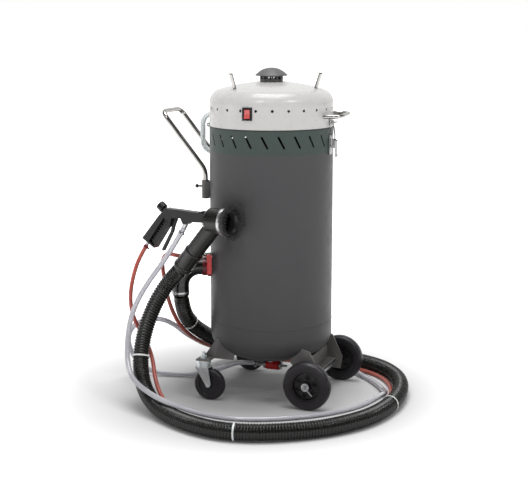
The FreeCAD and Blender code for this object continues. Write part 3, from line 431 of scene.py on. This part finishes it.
def sweep(name, pts, radius, mat, seg=20, caps=True, radii=None):
    fr = frames_along(pts)
    verts, faces = [], []
    for i, (p, (t, n, b_)) in enumerate(zip(pts, fr)):
        r = radii[i] if radii else radius
        for k in range(seg):
            a = 2 * math.pi * k / seg
            verts.append(p + (n * math.cos(a) + b_ * math.sin(a)) * r)
    for i in range(len(pts) - 1):
        for k in range(seg):
            k2 = (k + 1) % seg
            faces.append((i * seg + k, i * seg + k2, (i + 1) * seg + k2, (i + 1) * seg + k))
    if caps:
        faces.append(tuple(reversed(range(seg))))
        faces.append(tuple((len(pts) - 1) * seg + k for k in range(seg)))
    o = mesh_obj(name, verts, faces, mat)
    if caps:
        o.data.set_sharp_from_angle(angle=math.radians(50))
    return o


def mats(node, *names):
    o = NODES[node]
    o.data.materials.clear()
    for n in names:
        o.data.materials.append(M[n])
    for p in o.data.polygons:
        p.use_smooth = True
    o.data.set_sharp_from_angle(angle=math.radians(28))
    return o


# ---------------------------------------------------------------- cords
GUN_A = math.radians(-12.3)


def G(s_, n_, zr):
    """Point on the gun: s along the barrel towards the brush, n across, zr up from the pivot line."""
    return P(-26 + s_ * math.cos(GUN_A) - n_ * math.sin(GUN_A), -255 + s_ * math.sin(GUN_A) + n_ * math.cos(GUN_A), 585.5 + zr)


def GV(s_, n_, zr):
    return Vector((s_ * math.cos(GUN_A) - n_ * math.sin(GUN_A), s_ * math.sin(GUN_A) + n_ * math.cos(GUN_A), zr))


SUCTION = [G(-195, 0, -157)] + [P(*q) for q in [
    (-262, -205, 385), (-298, -226, 325), (-322, -250, 255), (-333, -272, 185), (-325, -303, 118), (-290, -348, 64),
    (-228, -402, 33), (-148, -458, 28), (-62, -504, 28), (32, -530, 28), (128, -516, 28), (216, -472, 28), (296, -412, 26),
    (358, -342, 28), (404, -258, 28), (427, -166, 28), (435, -70, 28), (427, 28, 28), (404, 122, 28), (364, 208, 26),
    (302, 276, 28), (222, 322, 28), (130, 344, 28), (36, 356, 28), (-58, 354, 28), (-146, 336, 32), (-216, 292, 52),
    (-256, 222, 80), (-264, 142, 112), (-262, 62, 148), (-268, -14, 190), (-268, -78, 238), (-264.2, -112, 282), (-263.7, -123, 318)]]
AIR = [G(-333.4, 0, -99.2)] + [P(*q) for q in [
    (-374, -196, 445), (-386, -212, 395), (-392, -226, 342), (-390, -230, 288), (-374, -226, 236), (-342, -224, 186),
    (-306, -250, 136), (-276, -300, 84), (-226, -352, 38), (-146, -412, 10), (-51, -472, 8), (34, -497, 8), (119, -484, 8),
    (200, -444, 8), (276, -388, 8), (333, -323, 8), (374, -246, 8), (396, -161, 8), (404, -70, 8), (396, 23, 8),
    (375, 112, 8), (338, 190, 8), (282, 251, 8), (210, 291, 8), (125, 311, 8), (34, 323, 8), (-55, 321, 8), (-135, 306, 10),
    (-209, 279, 18), (-250, 225, 44), (-262, 146, 76), (-264, 66, 110), (-272, -14, 150), (-284, -80, 200), (-300, -106, 252),
    (-316, -112, 304), (-324, -111, 352), (-328, -122, 400), (-318, -140, 440), (-288, -162, 460), (-246, -180, 456)]] + [polar(-143, 248.2, 452)]
CLEAR = [G(-187.4, 0, -32.8)] + [P(*q) for q in [
    (-238, -226, 500), (-272, -240, 444), (-312, -256, 386), (-346, -270, 326), (-368, -278, 266), (-376, -284, 208),
    (-368, -306, 152), (-336, -354, 108), (-276, -396, 84), (-196, -436, 68), (-118, -458, 59), (-46, -488, 58), (33, -505, 58), (120, -493, 58),
    (203, -451, 58), (279, -395, 58), (339, -328, 58), (380, -249, 57), (397, -162, 55), (399, -80, 47), (388, -2, 27), (359, 74, 11),
    (306, 156, 9), (240, 226, 9), (168, 276, 24), (92, 312, 58), (12, 350, 69), (-66, 380, 64), (-146, 388, 32),
    (-234, 330, 28), (-286, 244, 50), (-300, 150, 84), (-298, 66, 122), (-300, -14, 162), (-308, -70, 202), (-332, -112, 230),
    (-374, -136, 234), (-420, -136, 214), (-456, -114, 176), (-476, -82, 128), (-478, -46, 78), (-460, -18, 34),
    (-416, 0, 11), (-350, 10, 9), (-284, 28, 9), (-226, 48, 22), (-166, 44, 50), (-104, 4, 79), (-43, 0, 80)]]


# suction hose: a ribbed tube that follows its route
s_line = nurbs_points(SUCTION, 12)
PITCH = 0.0088
rib_pts, total = resample(s_line, PITCH / 6)
radii = []
for i in range(len(rib_pts)):
    ph = (i % 6) / 6.0
    radii.append((0.0226, 0.0236, 0.0249, 0.0251, 0.0247, 0.0234)[i % 6])
for i in range(10):
    radii[i] = 0.0236
    radii[-1 - i] = 0.0236
suction = sweep("suction_hose_ribbed", rib_pts, 0.025, M["hose"], seg=40, radii=radii)
ca, cb = G(-147.9, 0, -102.3), G(-195, 0, -157)
cuff = lathe("suction_cuff", [(24.2, 0), (29.4, 0), (30.2, 1.5), (30.2, 9), (29.6, 10.5), (29.4, 60), (30.6, 62), (30.6, 71), (29.5, 73), (24.6, 74.5)],
             ca, cb - ca, M["hose"], seg=56)

# air and abrasive hoses
a_line = nurbs_points(AIR, 10)
air = sweep("air_hose_tube", a_line, 0.0065, M["red_hose"], seg=20)
c_line = nurbs_points(CLEAR, 10)
clear = sweep("abrasive_hose_tube", c_line, 0.008, M["clear_hose"], seg=24)

# ---------------------------------------------------------------- CAD nodes and their finishes
LOOK = {
    "tank_shell": "tank", "vent_collar": "collar", "bottom_head": "tank", "filter_cartridge": "paper", "lid_dome": "lid",
    "lid_gasket": "gasket", "exhaust_cap": "cap", "cord_wrap_pegs": "chrome", "lift_handle": "chrome", "latch_hook": "plated",
    "latch_base": "plated", "latch_lever": "plated", "latch_bail": "chrome", "hinge_leaf_lid": "dark_frame", "hinge_leaf_tank": "dark_frame",
    "hinge_pin": "zinc", "switch_housing": "black", "switch_rocker": "rocker", "vacuum_motor": "steel", "cable_gland": "black",
    "handle_sockets": "dark_frame", "pull_handle": "chrome", "clamp_screw_near": "dark_frame", "clamp_screw_far": "dark_frame",
    "caster_brackets": "frame", "wheel_brackets": "frame", "axle": "steel", "tyre_near": "rubber", "rim_near": "rim", "tyre_far": "rubber",
    "rim_far": "rim", "axle_washers": "zinc", "caster_stems": "zinc", "caster_fork_near": "zinc", "caster_wheel_near": "rubber",
    "caster_bolt_near": "zinc", "caster_fork_far": "zinc", "caster_wheel_far": "rubber", "caster_bolt_far": "zinc", "outlet_valve": "steel",
    "metering_sleeve": "red", "inlet_flange": "red_dark", "inlet_elbow": "hose", "air_valve_body": "chrome", "air_valve_lever": "red",
    "air_supply_nipple": "brass", "gun_shell_near": "black", "gun_shell_far": "black", "gun_knob": "black", "gun_trigger": "black",
    "suction_head": "hose", "gun_fittings": "steel", "brush_band": "steel", "brush_bristles": "bristle", "gun_holder": "dark_frame",
    "suction_hose": "hose", "air_hose": "red_hose", "abrasive_hose": "clear_hose", "hose_ties": "nylon", "link_hose": "link_hose",
}
for n, k in LOOK.items():
    if n in ("suction_hose", "air_hose", "abrasive_hose"):
        continue
    mats(n, k)

# ---------------------------------------------------------------- weld seam round the tank
def ring(name, r, z, wid, mat, seg=160, rough=0.0):
    verts, faces = [], []
    prof = [(-0.6, -wid), (0.35, -wid * 0.55), (0.75, 0), (0.35, wid * 0.55), (-0.6, wid)]
    for k in range(seg):
        a = 2 * math.pi * k / seg
        j = rough * random.uniform(-1, 1)
        for dr, dz in prof:
            verts.append(polar(math.degrees(a), r + dr + j * 0.3, z + dz + j * 0.4))
    n = len(prof)
    for k in range(seg):
        k2 = (k + 1) % seg
        for i in range(n - 1):
            faces.append((k * n + i, k2 * n + i, k2 * n + i + 1, k * n + i + 1))
        faces.append((k * n + n - 1, k2 * n + n - 1, k2 * n, k * n))
    return mesh_obj(name, verts, faces, mat)


weld = ring("weld_bead", 195.0, 242, 2.6, M["tank"], 220, 0.5)
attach(weld, "tank")

# ---------------------------------------------------------------- bristles, bundled in rows round the brush
bv, bf = [], []
gx, gn, gz = GV(1, 0, 0), GV(0, 1, 0), Vector((0, 0, 1))


def tuft(base, tip, r0, r1, bend):
    t = (tip - base)
    side = t.cross(Vector((0.3, 0.5, 0.8))).normalized()
    up = t.cross(side).normalized()
    rows = 4
    i0 = len(bv)
    for k in range(rows + 1):
        u = k / rows
        c = base.lerp(tip, u) + bend * (u * u)
        r = r0 + (r1 - r0) * u
        for j in range(3):
            a = 2 * math.pi * j / 3
            bv.append(c + side * (r * math.cos(a)) + up * (r * math.sin(a)))
    for k in range(rows):
        for j in range(3):
            j2 = (j + 1) % 3
            bf.append((i0 + k * 3 + j, i0 + k * 3 + j2, i0 + (k + 1) * 3 + j2, i0 + (k + 1) * 3 + j))
    bf.append((i0 + 2, i0 + 1, i0))
    bf.append((i0 + rows * 3, i0 + rows * 3 + 1, i0 + rows * 3 + 2))


NB = 2
for layer, (rb, rt, sb) in enumerate([(38.6, 56.5, -37), (37.6, 53.5, -36), (36.4, 49.5, -34), (35.2, 45.5, -32)]):
    n = (190, 180, 170, 150)[layer]
    for k in range(n):
        a = 2 * math.pi * (k + random.uniform(-0.4, 0.4)) / n
        rr = rb + random.uniform(-0.6, 0.2)
        at = a + random.gauss(0, 0.035)
        rtt = min(rt + random.gauss(0, 1.5), 58.6)
        st = min(random.gauss(0.2, 1.9), 4.0)
        base = G(sb, rr * math.cos(a), rr * math.sin(a))
        tip = G(st, rtt * math.cos(at), rtt * math.sin(at))
        mid = G((sb + st) / 2, (rr * 0.62 + rtt * 0.38) * math.cos(a), (rr * 0.62 + rtt * 0.38) * math.sin(a))
        bend = (base.lerp(tip, 0.5) - mid) * 0.8
        tuft(base, tip - bend, 0.00105, 0.0006, bend)
tufts = mesh_obj("brush_tufts", bv, bf, M["bristle"])
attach(tufts, "tank")
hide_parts("brush_bristles")
inner = lathe("brush_root_ring", [(34.4, -37.4), (39.1, -37.4), (39.1, -22.2), (42.2, -20.5), (40.5, -14), (36.5, -20), (34.4, -28)], G(0, 0, 0), gx, M["bristle"], seg=72, closed=True)
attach(inner, "tank")

# ---------------------------------------------------------------- worm-drive clamps
def clamp(name, c, axis, r, wid, screw_dir, mat, scr=True):
    """Thin band with a screw housing; radius and width in mm."""
    w = wid / 2
    band = lathe(name + "_band", [(r, -w), (r + 0.9, -w), (r + 1.2, -w + 0.6), (r + 1.2, w - 0.6), (r + 0.9, w), (r, w)], c, axis, mat, seg=72, closed=True)
    objs = [band]
    ax = Vector(axis).normalized()
    sd = (Vector(screw_dir) - ax * Vector(screw_dir).dot(ax)).normalized()
    tg = ax.cross(sd)
    p = Vector(c) + sd * ((r + 2.6) / 1000)
    rot = Matrix((tg, ax, sd)).transposed()
    objs.append(boxy(name + "_house", p, (wid * 1.1, wid * 0.86, 4.2), rot, mat, 0.0006))
    objs.append(lathe(name + "_screw", [(0, -7), (2.2, -7), (2.2, 5), (3.2, 5.2), (3.2, 8.6), (0, 8.6)], p, tg, mat, seg=20))
    o = join(name, objs)
    return o


# matte dark disc at mid web inside each wheel, closing the rim windows so they read dark: painted shade
for nm_, cy in (("near", -175.6), ("far", 175.6)):
    window_shade_disc = lathe("wheel_window_shade_disc_" + nm_, [(14.2, -1.2), (38.5, -1.2), (38.5, 1.2), (14.2, 1.2)], P(181.7, cy, 76.5), (0, 1, 0), M["gasket"], seg=64, closed=True)
    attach(window_shade_disc, "wheel_" + nm_)

c1 = clamp("brush_clamp", G(-30.5, 0, 0), gx, 41.4, 13, GV(0, -0.55, 0.83), M["steel"])
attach(c1, "tank")
bd = (CLEAR[1] - CLEAR[0]).normalized()
c2 = clamp("abrasive_hose_clamp", CLEAR[0] + bd * 0.016, bd, 8.2, 8, GV(0.8, -0.5, 0), M["steel"])
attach(c2, "tank")
ad = (AIR[1] - AIR[0]).normalized()
c3 = clamp("air_hose_clamp", AIR[0] + ad * 0.007, ad, 6.7, 6, GV(0.9, -0.2, -0.3), M["red_dark"])
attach(c3, "tank")
ed = Vector((0, 0, 1))
c4 = clamp("elbow_clamp", SUCTION[-1] + Vector((0, 0, 0.010)), ed, 27.2, 9, Vector((-0.5, -0.8, 0)), M["steel"])
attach(c4, "tank")
bod = (CLEAR[-2] - CLEAR[-1]).normalized()
c5 = clamp("outlet_hose_clamp", CLEAR[-1] + bod * 0.012, bod, 8.2, 7, Vector((0, -0.6, -0.8)), M["steel"])
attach(c5, "tank")

# cords and what is on them
BODY_HOSE = "tank"
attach(suction, BODY_HOSE)
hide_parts("suction_hose")
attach(cuff, BODY_HOSE)
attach(air, BODY_HOSE)
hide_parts("air_hose")
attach(clear, BODY_HOSE)
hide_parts("abrasive_hose")

# ---------------------------------------------------------------- floor and light
fl = mesh_obj("floor", [(-40, -40, 0), (40, -40, 0), (40, 40, 0), (-40, 40, 0)], [(0, 1, 2, 3)], None)
m, nt, b = node_mat("floor_with_painted_shadow")
b.inputs["Roughness"].default_value = 0.9
b.inputs["Emission Color"].default_value = (1, 1, 1, 1)
geo = nt.nodes.new("ShaderNodeTexCoord")
vl = nt.nodes.new("ShaderNodeVectorMath")
vl.operation = "LENGTH"
nt.links.new(geo.outputs["Object"], vl.inputs[0])
# the floor glows weakly near its centre under the machine and fully far out: painted shadow under the machine, fading
# to an evenly lit white floor
mr = nt.nodes.new("ShaderNodeMapRange")
mr.interpolation_type = "SMOOTHSTEP"
mr.inputs["From Min"].default_value = 0.5
mr.inputs["From Max"].default_value = 1.55
mr.inputs["To Min"].default_value = 0.03
mr.inputs["To Max"].default_value = 1.0
nt.links.new(vl.outputs["Value"], mr.inputs["Value"])
nt.links.new(mr.outputs["Result"], b.inputs["Emission Strength"])
# base colour darker towards the floor's centre under the machine: painted shadow
nt.links.new(ramp(nt, vl.outputs["Value"], [(0.2, grey(0.34)), (0.74, grey(0.94))]), b.inputs["Base Color"])
fl.data.materials.append(m)
w = bpy.data.worlds.new("studio")
bpy.context.scene.world = w
w.use_nodes = True
wn = w.node_tree
bg = wn.nodes["Background"]
tc = wn.nodes.new("ShaderNodeTexCoord")
sep = wn.nodes.new("ShaderNodeSeparateXYZ")
wn.links.new(tc.outputs["Generated"], sep.inputs[0])


def wmath(op, a, c=None):
    n = wn.nodes.new("ShaderNodeMath")
    n.operation = op
    for i, v in enumerate((a, c)):
        if v is None:
            continue
        if isinstance(v, (int, float)):
            n.inputs[i].default_value = v
        else:
            wn.links.new(v, n.inputs[i])
    return n.outputs[0]


# bright backdrop behind the object, dimmer room on the sides and in front
dirx, diry = -0.3492, 0.9370
back = wmath("ADD", wmath("MULTIPLY", sep.outputs[0], dirx), wmath("MULTIPLY", sep.outputs[1], diry))
rr_ = wn.nodes.new("ShaderNodeValToRGB")
el = rr_.color_ramp.elements
el[0].position = 0.50
el[0].color = (0.15, 0.15, 0.153, 1)
el[1].position = 0.86
el[1].color = (1, 1, 1, 1)
wn.links.new(wmath("ADD", wmath("MULTIPLY", back, 0.5), 0.5), rr_.inputs[0])
wn.links.new(rr_.outputs[0], bg.inputs[0])
bg.inputs[1].default_value = 1.0


def area(name, loc, target, size, power, sy=None):
    li = bpy.data.lights.new(name, "AREA")
    li.energy = power
    li.size = size
    if sy:
        li.shape = "RECTANGLE"
        li.size_y = sy
    o = bpy.data.objects.new(name, li)
    o.location = loc
    d = Vector(target) - Vector(loc)
    o.rotation_euler = d.to_track_quat("-Z", "Y").to_euler()
    COL.objects.link(o)
    return o


area("key", (2.25, -1.25, 2.65), (0.05, 0, 0.55), 0.62, 17, 0.34)
area("fill", (-0.04, -2.55, 2.65), (0.05, 0, 0.55), 0.55, 15, 0.34)
area("overhead", (0.1, -0.3, 5.2), (0.1, -0.1, 0), 3.0, 205)
area("side", (-3.0, -1.6, 1.2), (0.0, 0, 0.5), 1.4, 9)
bpy.context.scene.view_settings.view_transform = "Standard"
